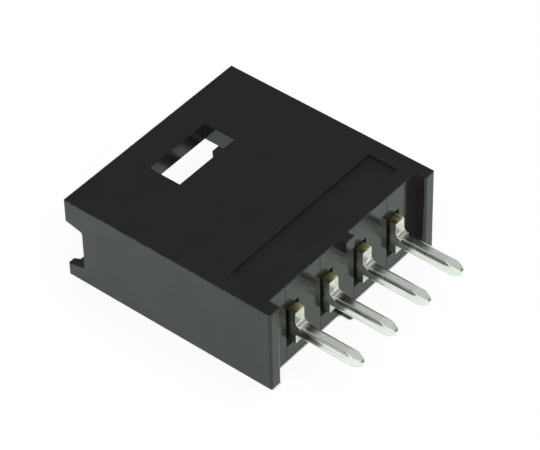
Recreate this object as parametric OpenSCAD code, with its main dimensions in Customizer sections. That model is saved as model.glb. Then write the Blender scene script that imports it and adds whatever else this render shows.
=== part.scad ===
// Shrouded pin header, one row of square contacts, lying on its plain side.
// X runs along the row, +Y points to the mating end, the solder tails point to -Y.

/* [Row] */
// Distance between neighbouring contacts
pitch = 2.54; // [2:0.01:5.08]
// Distance from an end contact to the outer face of the end wall
end_margin = 2.41; // [2.1:0.01:4]
// Height of the contacts above the plain side
contact_z = 2.09; // [1.8:0.01:2.6]

/* [Shroud] */
// Length of the housing from the board to the mating rim
shroud_len = 12.63; // [11:0.01:20]
// Height of the housing, across the row
shroud_h = 4.9; // [4.4:0.01:7]
// Thickness of the two end walls
end_wall = 0.72; // [0.5:0.01:1]
// Thickness of the wall with the latch window
top_wall = 0.97; // [0.5:0.01:1.2]
// Thickness of the plain wall
bottom_wall = 0.63; // [0.5:0.01:0.9]
// Radius of the outer edges at the mating rim
rim_r = 0.1; // [0.05:0.01:0.4]
// Radius of the edges of the end walls at the board
board_r = 0.14; // [0.05:0.01:0.24]
// Radius of the long outer edges, and of those at the board
edge_r = 0.06; // [0.02:0.01:0.2]
// How far the mouth widens at each wall
lead_in = 0.3; // [0.05:0.01:0.4]
// Length of the widened part of the mouth
lead_in_len = 1.2; // [0.3:0.01:2]

/* [Latch window] */
// Width of the window, along the row
window_w = 4.05; // [2:0.01:6]
// Length of the window
window_len = 1.88; // [1:0.01:4]
// Distance from the window to the mating rim
window_rim = 1.81; // [1.3:0.01:3]

/* [Rim notches] */
// Depth of the notches in the end walls
side_notch_depth = 1.08; // [0.4:0.01:1.6]
// Width of the notches in the end walls, at their inner end
side_notch_w = 2.44; // [1:0.01:2.6]
// Height of the middle of the notches in the end walls
side_notch_z = 2.14; // [1.9:0.01:2.6]
// Depth of the cut-out in the plain wall
floor_notch_depth = 5.6; // [0.6:0.01:6]
// Width of the cut-out in the plain wall, at its inner end
floor_notch_w = 8.4; // [3:0.01:8.6]
// How far the notches in the end walls widen, at each side
side_notch_flare = 0.2; // [0.05:0.01:0.3]
// How far the cut-out in the plain wall widens, at each side
floor_notch_flare = 0.35; // [0.05:0.01:0.5]
// Radius of the inner corners of the notches and the cut-out
notch_r = 0.2; // [0.05:0.01:0.3]

/* [Base] */
// Distance from the board to the base
stand_off = 0.66; // [0.5:0.01:1.2]
// Thickness of the base that holds the contacts
base_len = 2.64; // [2:0.01:5]
// Width of the seams that the mould inserts leave beside the slots
seam_w = 0.03; // [0.02:0.01:0.1]
// Depth of the seams
seam_depth = 0.02; // [0.01:0.01:0.1]
// Width of the tabs in the middle of the base
tab_w = 0.62; // [0.3:0.01:1.2]
// Height of the tab on the window side
top_tab_h = 0.7; // [0.2:0.01:1.2]
// Distance from the board to the tab on the window side
top_tab_gap = 0.24; // [0:0.01:0.4]
// Height of the tab on the plain side
bottom_tab_h = 0.32; // [0.2:0.01:0.7]

/* [Panel on the window side] */
// Distance from the panel to the end faces
panel_margin = 1.04; // [0.3:0.01:2]
// Distance from the board to the panel
panel_y = 1.45; // [1:0.01:4]
// Length of the panel
panel_len = 1.75; // [0.5:0.01:4]
// Depth of the panel
panel_depth = 0.12; // [0.05:0.01:0.3]

/* [Contacts] */
// Side of the square wire
wire = 0.64; // [0.4:0.01:0.8]
// Radius of the long edges of the wire
wire_r = 0.15; // [0.05:0.01:0.18]
// Length of the tails beyond the board side of the housing
tail_len = 3.52; // [2:0.01:6]
// Length of the curved end of a tail
tail_taper = 0.95; // [0.4:0.01:1.2]
// Width of the round tip of a tail
tail_tip_w = 0.3; // [0.2:0.01:0.36]
// Distance from the mating rim to the ends of the posts
post_rim = 2.43; // [1.5:0.01:6]
// Length of the curved end of a post
post_taper = 0.8; // [0.3:0.01:1.2]
// Width of the round tip of a post
post_tip_w = 0.24; // [0.15:0.01:0.36]
// Length of the shoulder along the contact
shoulder_len = 1; // [0.5:0.01:1.4]
// Height of the shoulder above the middle of the wire
shoulder_up = 1.19; // [0.6:0.01:1.3]
// Depth of the shoulder below the middle of the wire
shoulder_down = 0.76; // [0.4:0.01:1]
// Distance from the board to the shoulder
shoulder_gap = 0.22; // [0.1:0.01:0.5]
// Radius of the upper board-side edge of the shoulder
shoulder_r = 0.1; // [0.03:0.01:0.25]
// Radius between the shoulder and the upper side of a tail
root_r = 0.26; // [0.1:0.01:0.4]
// Width of the slots in the base
slot_w = 0.92; // [0.8:0.01:1.2]
// Room above the shoulder in its slot
slot_room_up = 0.22; // [0.02:0.01:0.4]
// Room below the shoulder in its slot
slot_room_down = 0.42; // [0.02:0.01:0.5]
// Room between a contact and its hole, on each side
fit = 0.02; // [0.01:0.01:0.05]

/* [Hidden] */
NODES = ["housing", "contact_1", "contact_2", "contact_3", "contact_4"];
contacts = len(NODES) - 1;
$fn = 48;
// Cuts run past the faces that they open by this much
past = 1;
row_half = (contacts - 1) * pitch / 2;
half_w = row_half + end_margin;
inner_half_w = half_w - end_wall;
ceiling_z = shroud_h - top_wall;
floor_y = stand_off + base_len;
// The box of the whole part is centred on the origin
board_y = (tail_len - shroud_len) / 2;
shoulder_back_y = shoulder_gap + shoulder_len;
post_end_y = shroud_len - post_rim;
panel_half_w = half_w - panel_margin;
contact_x = [for (i = [0 : contacts - 1]) i * pitch - row_half];

// Prism of a YZ outline, centred on the YZ plane
module along_x(length) {
    rotate([90, 0, 90])
        linear_extrude(height = length, center = true)
            children();
}

// Prism of an XZ outline, from one Y to another
module along_y(from, to) {
    translate([0, to, 0])
        rotate([90, 0, 0])
            linear_extrude(height = to - from)
                children();
}

// Rectangle from one corner to the other
module rectangle(low, high) {
    translate(low)
        square(high - low);
}

// Rectangle with a radius on its four corners
module round_rectangle(low, high, r) {
    rectangle(low + [r, 0], high - [r, 0]);
    rectangle(low + [0, r], high - [0, r]);
    for (x = [low[0] + r, high[0] - r], y = [low[1] + r, high[1] - r])
        translate([x, y])
            circle(r);
}

// Rectangle with a radius on the two corners at its upper end
module round_top(low, high, r) {
    rectangle(low, [high[0], high[1] - r]);
    rectangle([low[0] + r, high[1] - 2 * r], [high[0] - r, high[1]]);
    for (x = [low[0] + r, high[0] - r])
        translate([x, high[1] - r])
            circle(r);
}

// Mouth of the cavity in one plane: straight sides that open out towards the rim
module mouth_outline(low, high) {
    rectangle([low, floor_y], [high, shroud_len + past]);
    polygon([
        [low, shroud_len - lead_in_len],
        [low - lead_in, shroud_len],
        [low - lead_in, shroud_len + past],
        [high + lead_in, shroud_len + past],
        [high + lead_in, shroud_len],
        [high, shroud_len - lead_in_len]
    ]);
}

// Notch that opens to the rim, with round inner corners and a wider mouth
module notch_outline(width, depth, flare, flare_len) {
    half = width / 2;
    mirror([0, 1])
        round_top([-half, -shroud_len - past], [half, depth - shroud_len], notch_r);
    polygon([
        [-half, shroud_len - flare_len],
        [-half - flare, shroud_len],
        [-half - flare, shroud_len + past],
        [half + flare, shroud_len + past],
        [half + flare, shroud_len],
        [half, shroud_len - flare_len]
    ]);
}

// Tube and base in one block, with a radius at the rim and a smaller one at the board side
module body_block() {
    intersection() {
        linear_extrude(height = shroud_h)
            round_top([-half_w, stand_off], [half_w, shroud_len], rim_r);
        along_x(2 * half_w + past)
            mirror([1, -1]) {
                round_top([0, floor_y], [shroud_h, shroud_len], rim_r);
                mirror([0, 1])
                    round_top([0, -floor_y - past], [shroud_h, -stand_off], edge_r);
            }
    }
}

// Ends of the two end walls, which stand on the board
module wall_ends() {
    intersection() {
        linear_extrude(height = shroud_h)
            for (side = [0, 1])
                mirror([side, 0])
                    mirror([0, 1])
                        round_top([inner_half_w, -floor_y], [half_w, 0], board_r);
        along_x(2 * half_w + past)
            mirror([1, -1])
                mirror([0, 1])
                    round_top([0, -floor_y], [shroud_h, 0], edge_r);
    }
}

// Outer form of the housing, with round long edges
module shroud_block() {
    intersection() {
        union() {
            body_block();
            wall_ends();
        }
        along_y(-past, shroud_len + past)
            round_rectangle([-half_w, 0], [half_w, shroud_h], edge_r);
    }
}

// Room for the mating connector
module cavity() {
    intersection() {
        linear_extrude(height = shroud_h)
            mouth_outline(-inner_half_w, inner_half_w);
        along_x(2 * half_w + past)
            mirror([1, -1])
                mouth_outline(bottom_wall, ceiling_z);
    }
}

module latch_window() {
    translate([-window_w / 2, shroud_len - window_rim - window_len, ceiling_z - past])
        cube([window_w, window_len, top_wall + 2 * past]);
}

// Notches in the end walls, and the cut-out in the plain wall
module rim_notches() {
    translate([0, 0, side_notch_z])
        along_x(2 * half_w + past)
            mirror([1, -1])
                notch_outline(side_notch_w, side_notch_depth, side_notch_flare, side_notch_depth - notch_r);
    translate([0, 0, -past])
        linear_extrude(height = past + bottom_wall + lead_in)
            notch_outline(floor_notch_w, floor_notch_depth, floor_notch_flare, floor_notch_flare);
}

// Lines across the base, one along each slot
module insert_seams() {
    for (x = contact_x)
        translate([x - slot_w / 2 - seam_w, 0, -past])
            cube([seam_w, stand_off + seam_depth, shroud_h + 2 * past]);
}

// Slot and hole for each contact
module contact_seats() {
    for (x = contact_x)
        translate([x, 0, 0]) {
            along_y(0, shoulder_back_y)
                rectangle([-slot_w / 2, contact_z - shoulder_down - slot_room_down],
                          [slot_w / 2, contact_z + shoulder_up + slot_room_up]);
            along_y(0, floor_y + past)
                translate([0, contact_z])
                    square(wire + 2 * fit, center = true);
        }
}

// Tabs in the middle of the base, on both long sides
module standoff_tabs() {
    translate([-tab_w / 2, top_tab_gap, shroud_h - top_tab_h])
        cube([tab_w, stand_off, top_tab_h]);
    translate([-tab_w / 2, 0, 0])
        cube([tab_w, stand_off + top_tab_gap, bottom_tab_h]);
}

module panel() {
    translate([-panel_half_w, panel_y, shroud_h - panel_depth])
        cube([2 * panel_half_w, panel_len, panel_depth + past]);
}

module housing() {
    color([0.13, 0.13, 0.13])
        translate([0, board_y, 0])
            difference() {
                union() {
                    difference() {
                        shroud_block();
                        insert_seams();
                    }
                    standoff_tabs();
                }
                cavity();
                latch_window();
                rim_notches();
                contact_seats();
                panel();
            }
}

// Outline of a wire seen from one side: an end that curves in to a round tip at the origin
module bullet_outline(length, taper, tip_w) {
    half = wire / 2;
    tip_r = tip_w / 2;
    rise = taper - tip_r;
    arc_r = (rise * rise / (half - tip_r) + half + tip_r) / 2;
    touch_y = taper - rise * arc_r / (arc_r - tip_r);
    rectangle([-half, taper], [half, length]);
    translate([0, tip_r])
        circle(tip_r);
    intersection() {
        rectangle([-half, touch_y], [half, taper]);
        translate([half - arc_r, taper])
            circle(arc_r, $fn = 4 * $fn);
        translate([arc_r - half, taper])
            circle(arc_r, $fn = 4 * $fn);
    }
}

// Square wire with round edges, from a curved end at the origin along +Y
module wire_end(length, taper, tip_w) {
    intersection() {
        along_y(-past, length) {
            square([wire, wire - 2 * wire_r], center = true);
            square([wire - 2 * wire_r, wire], center = true);
            for (x = [-1, 1], z = [-1, 1])
                translate([x, z] * (wire / 2 - wire_r))
                    circle(wire_r);
        }
        linear_extrude(height = 2 * wire, center = true)
            bullet_outline(length, taper, tip_w);
        along_x(2 * wire)
            mirror([1, -1])
                bullet_outline(length, taper, tip_w);
    }
}

// Shoulder across the wire, seen from the end of the row: Y to the right, Z up
module shoulder_outline() {
    top = shoulder_up;
    difference() {
        union() {
            rectangle([shoulder_gap, -shoulder_down], [shoulder_back_y, top - shoulder_r]);
            rectangle([shoulder_gap + shoulder_r, 0], [shoulder_back_y, top]);
            translate([shoulder_gap + shoulder_r, top - shoulder_r])
                circle(shoulder_r);
            rectangle([shoulder_gap - root_r, 0], [shoulder_back_y, wire / 2 + root_r]);
        }
        translate([shoulder_gap - root_r, wire / 2 + root_r])
            circle(root_r);
    }
}

module contact(index) {
    color([0.78, 0.78, 0.76])
        translate([contact_x[index - 1], board_y, contact_z]) {
            translate([0, -tail_len, 0])
                wire_end(tail_len + shoulder_back_y, tail_taper, tail_tip_w);
            along_x(wire)
                shoulder_outline();
            translate([0, post_end_y, 0])
                mirror([0, 1, 0])
                    wire_end(post_end_y - shoulder_gap, post_taper, post_tip_w);
        }
}

housing();
contact(1);  // contact_1
contact(2);  // contact_2
contact(3);  // contact_3
contact(4);  // contact_4
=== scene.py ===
import math

import bpy
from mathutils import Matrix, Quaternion, Vector

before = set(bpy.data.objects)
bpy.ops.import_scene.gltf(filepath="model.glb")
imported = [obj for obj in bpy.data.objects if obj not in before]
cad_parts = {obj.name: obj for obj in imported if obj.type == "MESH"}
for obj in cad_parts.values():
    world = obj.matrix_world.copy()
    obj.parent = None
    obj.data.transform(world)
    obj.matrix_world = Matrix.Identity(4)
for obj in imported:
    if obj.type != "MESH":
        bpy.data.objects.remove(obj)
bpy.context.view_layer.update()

# Places on the part are in millimetres, other lengths in metres where nothing else is said. A name that ends in
# X, Y, Z, ACROSS or SPAN is a pair: where a mask begins and where it is full. ENDS and SPANS hold two pairs.
MM = 0.001
PITCH = 2.54
ROW_HALF = 2 * PITCH
CONTACT_MIDDLE = 0.5  # across a contact, in pitches
WHITE = (1, 1, 1, 1)
FULL_SPAN = (0.0, 1.0)
NOISE_SPAN = (0.3, 0.7)  # holds most of any noise


class Nodes:
    """A short way to write a node tree."""

    def __init__(self, tree):
        self.tree = tree
        tree.nodes.clear()

    def add(self, kind, inputs=None, **settings):
        node = self.tree.nodes.new(kind)
        for key, value in settings.items():
            setattr(node, key, value)
        for key, value in (inputs or {}).items():
            self.put(node.inputs[key], value)
        return node

    def put(self, socket, value):
        if isinstance(value, bpy.types.NodeSocket):
            self.tree.links.new(value, socket)
        else:
            socket.default_value = value

    def output(self, kind, shader):
        self.add(kind, {"Surface": shader.outputs[0]})

    def math(self, operation, *values):
        return self.add("ShaderNodeMath", dict(enumerate(values)), operation=operation).outputs[0]

    def chain(self, operation, first, *others):
        for other in others:
            first = self.math(operation, first, other)
        return first

    def product(self, *values):
        return self.chain("MULTIPLY", *values)

    def total(self, *values):
        return self.chain("ADD", *values)

    def largest(self, *values):
        return self.chain("MAXIMUM", *values)

    def weighted(self, values, weights):
        return self.total(*[self.product(value, weight) for value, weight in zip(values, weights)])

    def absolute(self, value):
        return self.math("ABSOLUTE", value)

    def range(self, value, span, to=FULL_SPAN, smooth=False):
        """Value carried from one span to another, and held at the ends."""
        kind = "SMOOTHSTEP" if smooth else "LINEAR"
        inputs = dict(enumerate((value, *span, *to)))
        return self.add("ShaderNodeMapRange", inputs, interpolation_type=kind, clamp=True).outputs[0]

    def mix(self, factor, a, b):
        """Colour between a and b, by those of the node's sockets that are for colours."""
        return self.add("ShaderNodeMix", {0: factor, 6: a, 7: b}, data_type="RGBA").outputs[2]

    def xyz(self, vector):
        return self.add("ShaderNodeSeparateXYZ", {"Vector": vector}).outputs

    def geometry(self, name):
        return self.add("ShaderNodeNewGeometry").outputs[name]

    def millimetres(self, stretch=(1, 1, 1)):
        """Place on the object, in millimetres, with its axes stretched."""
        place = self.add("ShaderNodeTexCoord").outputs["Object"]
        scale = [s / MM for s in stretch]
        return self.add("ShaderNodeMapping", {"Vector": place, "Scale": scale}).outputs[0]

    def across(self, x):
        """Place across a contact, in pitches."""
        return self.math("FRACT", self.math("DIVIDE", self.math("ADD", x, ROW_HALF), PITCH))

    def noise(self, place, scale, detail=3.0, roughness=0.55):
        inputs = {"Vector": place, "Scale": scale, "Detail": detail, "Roughness": roughness}
        return self.add("ShaderNodeTexNoise", inputs).outputs["Fac"]

    def soft_edges(self, radius):
        """Normal with a small radius on each sharp edge."""
        return self.add("ShaderNodeBevel", {"Radius": radius}, samples=6).outputs[0]

    def bump(self, height, depth, strength, normal):
        inputs = {"Strength": strength, "Distance": depth, "Height": height, "Normal": normal}
        return self.add("ShaderNodeBump", inputs).outputs[0]

    def openness(self, reach):
        """1 in the open, less where something stands within reach."""
        return self.add("ShaderNodeAmbientOcclusion", {"Distance": reach}, samples=8).outputs["AO"]


def material(name):
    made = bpy.data.materials.new(name)
    made.use_nodes = True
    return made, Nodes(made.node_tree)


# Housing. Its sheets are the broad faces that lie flat, its walls all the others.
# The walls' colours sit above the sheets': painted fill light on the walls.
LIT_WALL_COLOURS = (0.0145, 0.0149, 0.0146, 1), (0.0185, 0.0189, 0.0185, 1)
SHEET_COLOURS = (0.0105, 0.0107, 0.0106, 1), (0.0135, 0.0137, 0.0135, 1)
# Paler colour painted on the slots' walls: painted light inside the slots.
SLOT_LIGHT_COLOUR = (0.06, 0.062, 0.056, 1)
TONE_WEIGHTS = 0.6, 0.4  # cloud, grain
TONE_SPAN = (0.35, 0.65)
SHEET_SPAN = (0.86, 0.97)  # how flat a face lies
EDGE_SPANS = (0.06, 0.2), (0.955, 0.85)  # the same, on a rounded edge between a wall and a sheet
SLOT_ACROSS = (0.2, 0.188)  # from the contact's middle
SLOT_X = (4.5, 4.4)
SLOT_Y_ENDS = (-3.89, -3.86), (-2.3, -2.4)
SLOT_Z_ENDS = (3.65, 3.6), (0.7, 0.8)
POLISH_WEIGHTS = 0.7, 0.3  # flow, grain
WALL_ROUGHNESS, SHEET_ROUGHNESS = (0.12, 0.2), (0.44, 0.54)
GLOSS_SPAN = (0.34, 0.66)
WALL_GLOSS, SHEET_GLOSS = (0.47, 0.54), 0.16
GLOSS_TINT = (0.92, 1.0, 0.94, 1)
PLASTIC_IOR = 1.5
WALL_GRAIN, SHEET_GRAIN = 0.012, 0.05
WEAR_SPAN = (0.46, 0.7)
GRAIN_DEPTH, WEAR_DEPTH = 0.01 * MM, 0.2 * MM
HOUSING_EDGE = 0.03 * MM


def plastic_material():
    """Near-black filled plastic: matte sheets, polished walls with flow marks, worn edges; the walls carry
    painted fill light, and the slots are painted paler as painted light.
    """
    made, n = material("black_plastic")
    place = n.millimetres()
    x, y, z = n.xyz(place)
    cloud = n.noise(place, scale=0.55, detail=4.0)
    grain = n.noise(place, scale=14.0, detail=2.0)
    flow = n.noise(n.millimetres(stretch=(0.5, 0.12, 0.5)), scale=2.2)
    wear = n.noise(place, scale=3.0, roughness=0.6)
    flatness = n.absolute(n.xyz(n.geometry("Normal"))["Z"])
    sheet = n.range(flatness, SHEET_SPAN, smooth=True)
    edge = n.product(*[n.range(flatness, span) for span in EDGE_SPANS])
    slot = n.product(
        n.range(n.absolute(n.math("SUBTRACT", n.across(x), CONTACT_MIDDLE)), SLOT_ACROSS),
        n.range(n.absolute(x), SLOT_X),
        *[n.range(y, span) for span in SLOT_Y_ENDS],
        *[n.range(z, span) for span in SLOT_Z_ENDS])

    tone = n.range(n.weighted((cloud, grain), TONE_WEIGHTS), TONE_SPAN)
    # Walls take the lighter colours: painted fill light.
    colour = n.mix(sheet, n.mix(tone, *LIT_WALL_COLOURS), n.mix(tone, *SHEET_COLOURS))
    # The slots' walls are painted paler: painted light inside the slots.
    colour = n.mix(slot, colour, SLOT_LIGHT_COLOUR)

    polish = n.range(n.weighted((flow, grain), POLISH_WEIGHTS), NOISE_SPAN, WALL_ROUGHNESS)
    matte = n.range(grain, NOISE_SPAN, SHEET_ROUGHNESS)
    rough = n.total(n.product(sheet, n.math("SUBTRACT", matte, polish)), polish)
    wall_gloss = n.range(cloud, GLOSS_SPAN, WALL_GLOSS)
    gloss = n.range(sheet, FULL_SPAN, (wall_gloss, SHEET_GLOSS))

    grain_strength = n.range(sheet, FULL_SPAN, (WALL_GRAIN, SHEET_GRAIN))
    normal = n.bump(grain, GRAIN_DEPTH, grain_strength, n.soft_edges(HOUSING_EDGE))
    normal = n.bump(n.range(wear, WEAR_SPAN, smooth=True), WEAR_DEPTH, edge, normal)
    n.output("ShaderNodeOutputMaterial", n.add("ShaderNodeBsdfPrincipled", {
        "Base Color": colour, "Roughness": rough, "IOR": PLASTIC_IOR, "Specular Tint": GLOSS_TINT,
        "Specular IOR Level": gloss, "Normal": normal}))
    return made


# Contacts. Each has a post inside the shroud, a plate that ends in the shoulder, and a tail outside.
TIN_COLOURS = (0.86, 0.885, 0.83, 1), (0.925, 0.945, 0.90, 1)
DULL_COLOUR = (0.52, 0.535, 0.47, 1)
DRAWN_COLOUR = (0.6, 0.615, 0.57, 1)
# Dark colour painted on the tails' ridges near the shoulder: painted shade.
RIDGE_SHADE_COLOUR = (0.2, 0.2, 0.18, 1)
FLANK_COLOUR = (0.65, 0.665, 0.59, 1)
FLANK_TOP_COLOUR = (0.43, 0.43, 0.35, 1)
# The flank's foot and its part deep in the slot are painted darker: painted shade.
FLANK_FOOT_SHADE = (0.3, 0.305, 0.27, 1)
FLANK_INNER_SHADE = (0.26, 0.26, 0.22, 1)
BRONZE_COLOURS = (0.28, 0.285, 0.105, 1), (0.92, 0.93, 0.53, 1)
BRONZE_LEFT_COLOUR = (0.10, 0.085, 0.04, 1)
# Darker colour painted where the shoulder top runs back into the slot: painted shade.
BRONZE_INNER_SHADE = (0.14, 0.13, 0.055, 1)
MOTTLE_SPAN = (0.35, 0.68)
DULL_SPAN = (0.40, 0.58)
STREAK_SPAN = (0.46, 0.62)
RIDGE_SPAN = (0.2, 0.45)  # how far a face looks aside and up
FLANK_SPAN = (0.9, 0.99)  # how far it looks aside
TOP_SHADE_SPAN = (0.75, 0.95)  # how far it looks up or down
OUTER_Y = (-2.6, -3.0)
PRESSED_Y = (-4.95, -4.55)
PLATE_Y = (-4.45, -4.34)
SHEARED_Z = (3.225, 3.262)
DULL_Z, DULL_SHARE = (2.42, 2.6), (1.0, 0.35)
DRAWN_Y, DRAWN_SHARE = (-7.6, -4.9), (0.25, 0.8)
POST_SHARE, OUTER_SHARE = 0.4, 1.0  # of the drawn streaks
TOP_SHADE_SHARE = 0.5
RIDGE_SHADE_Y, RIDGE_SHADE_SHARE = (-6.2, -5.2), 0.8
FLANK_TOP_Z, FLANK_FOOT_Z, FLANK_INNER_Y = (2.3, 2.9), (1.75, 2.25), (-4.02, -3.88)
BRONZE_ACROSS, BRONZE_INNER_Y = (0.42, 0.60), (-4.2, -3.7)
SATIN_WEIGHTS = 0.5, 0.5  # lines, mottle
SATIN_ROUGHNESS, PRESSED_ROUGHNESS = (0.13, 0.22), (0.08, 0.26)
SHEARED_ROUGHNESS, FLANK_ROUGHNESS = 0.3, 0.06
RUBBED_X, RUBBED_ROUGHNESS = (-2.2, -3.2), (0.04, 0.28)
LINES_RELIEF, MOTTLE_RELIEF = 0.55, 0.35
FINE_Y, FINE_RELIEF = (-6.4, -4.7), (0.24, 0.7)
RELIEF_STRENGTH, RELIEF_DEPTH = 0.11, 0.02 * MM
CONTACT_EDGE = 0.07 * MM


def contact_material():
    """Satin tin over bronze: drawn streaks along the wire, soft mottle, dull flanks, a bare shoulder top, and
    painted shade on the tails' tops and ridges, the flanks and the back of the shoulder top.
    """
    made, n = material("tinned_bronze")
    place = n.millimetres()
    x, y, z = n.xyz(place)
    face = n.xyz(n.geometry("True Normal"))
    aside, upright = n.absolute(face["X"]), n.absolute(face["Z"])
    lines = n.noise(n.millimetres(stretch=(13, 0.3, 13)), scale=1.0, detail=2.0)
    streaks = n.noise(n.millimetres(stretch=(9, 0.4, 9)), scale=1.0, detail=2.0)
    mottle = n.noise(place, scale=3.2)
    fine = n.noise(place, scale=22.0, detail=2.0)
    outer = n.range(y, OUTER_Y)
    pressed = n.range(y, PRESSED_Y, smooth=True)
    sheared = n.range(z, SHEARED_Z, smooth=True)
    flank = n.product(n.range(y, PLATE_Y, smooth=True), n.range(aside, FLANK_SPAN))
    ridge = n.product(n.range(aside, RIDGE_SPAN), n.range(face["Z"], RIDGE_SPAN))

    tin = n.mix(n.range(mottle, MOTTLE_SPAN), *TIN_COLOURS)
    dull = n.product(pressed, outer, n.range(mottle, DULL_SPAN), n.range(z, DULL_Z, DULL_SHARE))
    tin = n.mix(dull, tin, DULL_COLOUR)
    # Faces of the tails that look up or down are painted darker: painted shade on the tails' tops.
    shaded_tops = n.product(n.range(upright, TOP_SHADE_SPAN), outer, TOP_SHADE_SHARE)
    tin = n.mix(shaded_tops, tin, DRAWN_COLOUR)
    drawn_share = n.range(outer, FULL_SPAN, (POST_SHARE, OUTER_SHARE))
    drawn = n.product(n.range(streaks, STREAK_SPAN), n.range(y, DRAWN_Y, DRAWN_SHARE), drawn_share)
    tin = n.mix(drawn, tin, DRAWN_COLOUR)
    # The tails' ridges near the shoulder are painted dark: painted shade.
    shaded_ridge = n.product(ridge, n.range(y, RIDGE_SHADE_Y), n.product(outer, RIDGE_SHADE_SHARE))
    tin = n.mix(shaded_ridge, tin, RIDGE_SHADE_COLOUR)

    # The cut flanks are darker towards their top; their foot and their part deep in the slot are painted darker
    # as painted shade.
    cut = n.mix(n.range(z, FLANK_TOP_Z), FLANK_COLOUR, FLANK_TOP_COLOUR)
    cut = n.mix(n.range(z, FLANK_FOOT_Z), FLANK_FOOT_SHADE, cut)
    cut = n.mix(n.range(y, FLANK_INNER_Y), cut, FLANK_INNER_SHADE)

    bronze = n.mix(n.range(lines, NOISE_SPAN), *BRONZE_COLOURS)
    bronze = n.mix(n.range(n.across(x), BRONZE_ACROSS), BRONZE_LEFT_COLOUR, bronze)
    # The shoulder top is painted darker where it runs back into the slot: painted shade.
    bronze = n.mix(n.range(y, BRONZE_INNER_Y), bronze, BRONZE_INNER_SHADE)
    colour = n.mix(sheared, n.mix(flank, tin, cut), bronze)

    satin = n.range(n.weighted((lines, mottle), SATIN_WEIGHTS), NOISE_SPAN, SATIN_ROUGHNESS)
    stamped = n.product(pressed, n.range(mottle, NOISE_SPAN, PRESSED_ROUGHNESS))
    rubbed = n.product(ridge, n.range(x, RUBBED_X, RUBBED_ROUGHNESS))
    rough = n.total(
        satin, stamped, n.product(sheared, SHEARED_ROUGHNESS), n.product(flank, FLANK_ROUGHNESS), rubbed)

    fine_relief = n.range(y, FINE_Y, FINE_RELIEF)
    relief = n.weighted((lines, mottle, fine), (LINES_RELIEF, MOTTLE_RELIEF, fine_relief))
    normal = n.bump(relief, RELIEF_DEPTH, RELIEF_STRENGTH, n.soft_edges(CONTACT_EDGE))
    n.output("ShaderNodeOutputMaterial", n.add("ShaderNodeBsdfPrincipled", {
        "Base Color": colour, "Roughness": rough, "Metallic": 1.0, "Normal": normal}))
    return made


def dress(node, made):
    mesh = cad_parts[node].data
    mesh.materials.clear()
    mesh.materials.append(made)


plastic = plastic_material()
tin = contact_material()
dress("housing", plastic)
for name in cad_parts:
    if name.startswith("contact"):
        dress(name, tin)


# Floor. It glows to the camera and in reflections, and only there.
FLOOR_HALF, FLOOR_TOP = 3.0, -0.01 * MM  # its top is just below the part
TABLE_COLOURS = (0.78, 0.78, 0.78, 1), (0.82, 0.82, 0.82, 1)
SEEN_COLOUR = (0.14, 0.14, 0.14, 1)
MIRRORED_TINT = (0.93, 1.0, 0.94, 1)
FLOOR_GLOW = 0.9
UNDER_STRIP_X, UNDER_STRIP_Y, UNDER_BASE_Y = (5.2, 5.7), (-4.75, -4.5), (-3.9, -3.7)
CONTACT_SHADOW_REACH, CONTACT_SHADOW_SPAN, CONTACT_SHADOW_GLOW = 0.2 * MM, (0.46, 0.76), 0.03
SHADE_REACH, SHADE_SPAN, SHADE_SHARE = 6 * MM, (0.45, 1.0), (0.1, -0.02)


def floor_material():
    """White table that takes the soft shadow, and reads as white in the picture and in reflections.

    A painted contact shadow runs along the base's lower edge, between the strips, and near the part the floor
    is painted darker in reflections only. From below the floor is clear.
    """
    made, n = material("white_floor")
    path = n.add("ShaderNodeLightPath").outputs
    mirrored = path["Is Glossy Ray"]
    seen = n.largest(path["Is Camera Ray"], mirrored, path["Is Transmission Ray"])
    place = n.millimetres()
    x, y, _ = n.xyz(place)
    table = n.mix(n.noise(place, scale=0.4), *TABLE_COLOURS)
    diffuse = n.add("ShaderNodeBsdfDiffuse", {"Color": n.mix(seen, table, SEEN_COLOUR)})

    under_strips = n.product(n.range(n.absolute(x), UNDER_STRIP_X), n.range(y, UNDER_STRIP_Y))
    covered = n.largest(under_strips, n.range(y, UNDER_BASE_Y))
    # Painted contact shadow: the floor's glow drops where the part stands close.
    contact_shadow = n.range(n.openness(CONTACT_SHADOW_REACH), CONTACT_SHADOW_SPAN, (CONTACT_SHADOW_GLOW, FLOOR_GLOW), smooth=True)
    contact_shadow = n.largest(contact_shadow, n.product(covered, FLOOR_GLOW))
    shade = n.product(mirrored, n.range(n.openness(SHADE_REACH), SHADE_SPAN, SHADE_SHARE))
    lit = n.product(contact_shadow, n.math("SUBTRACT", 1.0, shade))
    tint = n.mix(mirrored, WHITE, MIRRORED_TINT)
    glow = n.add("ShaderNodeEmission", {"Color": tint, "Strength": n.product(seen, lit)})

    top = n.add("ShaderNodeAddShader", {0: diffuse.outputs[0], 1: glow.outputs[0]})
    clear = n.add("ShaderNodeBsdfTransparent")
    n.output("ShaderNodeOutputMaterial", n.add("ShaderNodeMixShader", {
        "Fac": n.geometry("Backfacing"), 1: top.outputs[0], 2: clear.outputs[0]}))
    return made


def make_floor():
    half, top = FLOOR_HALF, FLOOR_TOP
    corners = [(-half, -half, top), (half, -half, top), (half, half, top), (-half, half, top)]
    mesh = bpy.data.meshes.new("floor")
    mesh.from_pydata(corners, [], [(0, 1, 2, 3)])
    floor = bpy.data.objects.new("floor", mesh)
    bpy.context.scene.collection.objects.link(floor)
    mesh.materials.append(floor_material())


# World. The spans are of a direction's height, and of how near it is to the back light's.
HORIZON_SPAN, HORIZON_GLOW = (0.22, 0.42), (1.0, 0.1)
BACK_LIGHT_WAY = (0.56, 0.15, 0.815)
BACK_LIGHT_SPAN, BACK_LIGHT_GLOW = (0.80, 0.97), (0.0, 0.67)


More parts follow.
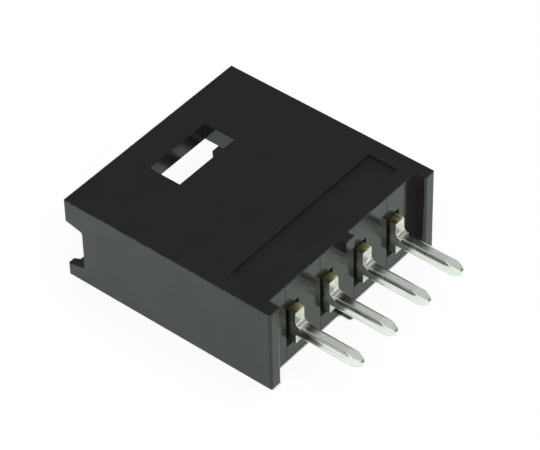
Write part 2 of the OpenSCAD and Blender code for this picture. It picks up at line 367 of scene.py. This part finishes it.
def make_world():
    """White near the horizon, dark above it, with a soft light high behind the part and to its right."""
    world = bpy.data.worlds.new("studio")
    bpy.context.scene.world = world
    world.use_nodes = True
    n = Nodes(world.node_tree)
    way = n.add("ShaderNodeTexCoord").outputs["Generated"]
    horizon = n.range(n.xyz(way)["Z"], HORIZON_SPAN, HORIZON_GLOW, smooth=True)
    towards = n.add("ShaderNodeVectorMath", {0: way, 1: BACK_LIGHT_WAY}, operation="DOT_PRODUCT")
    back_light = n.range(towards.outputs["Value"], BACK_LIGHT_SPAN, BACK_LIGHT_GLOW)
    n.output("ShaderNodeOutputWorld", n.add("ShaderNodeBackground", {
        "Color": WHITE, "Strength": n.largest(horizon, back_light)}))


# Lamp, a large soft box that hangs level above the part.
LAMP_PLACE, LAMP_AIM = (-0.1, -0.13, 0.26), (-0.1, -0.13, 0)
LAMP_SIZE, LAMP_RADIANCE = 0.45, 1.3

# Camera, fitted to the photo.
CAMERA_PLACE, CAMERA_AIM = (-79.32, -66.325, 100.928), (0.193, 0.718, 2.742)  # millimetres
CAMERA_ROLL = -1.397  # degrees
CAMERA_SENSOR, CAMERA_LENS = 36, 199.6  # millimetres
CAMERA_CLIP = 0.005, 10


def aimed(name, data, place, aim, roll=0.0):
    """Object in the scene that looks from a place towards another, rolled by an angle in degrees."""
    made = bpy.data.objects.new(name, data)
    bpy.context.scene.collection.objects.link(made)
    made.location = place
    made.rotation_mode = "QUATERNION"
    level = (aim - made.location).to_track_quat("-Z", "Y")
    made.rotation_quaternion = level @ Quaternion((0, 0, 1), math.radians(roll))
    return made


def make_lamp():
    lamp = bpy.data.lights.new("overhead", "AREA")
    lamp.shape = "SQUARE"
    lamp.size = LAMP_SIZE
    lamp.energy = LAMP_RADIANCE * math.pi * LAMP_SIZE * LAMP_SIZE
    aimed("overhead", lamp, Vector(LAMP_PLACE), Vector(LAMP_AIM))


def make_camera():
    data = bpy.data.cameras.new("camera")
    data.sensor_width = CAMERA_SENSOR
    data.lens = CAMERA_LENS
    data.clip_start, data.clip_end = CAMERA_CLIP
    camera = aimed("camera", data, Vector(CAMERA_PLACE) * MM, Vector(CAMERA_AIM) * MM, CAMERA_ROLL)
    bpy.context.scene.camera = camera


make_floor()
make_world()
make_lamp()
make_camera()
bpy.context.scene.view_settings.view_transform = "Standard"
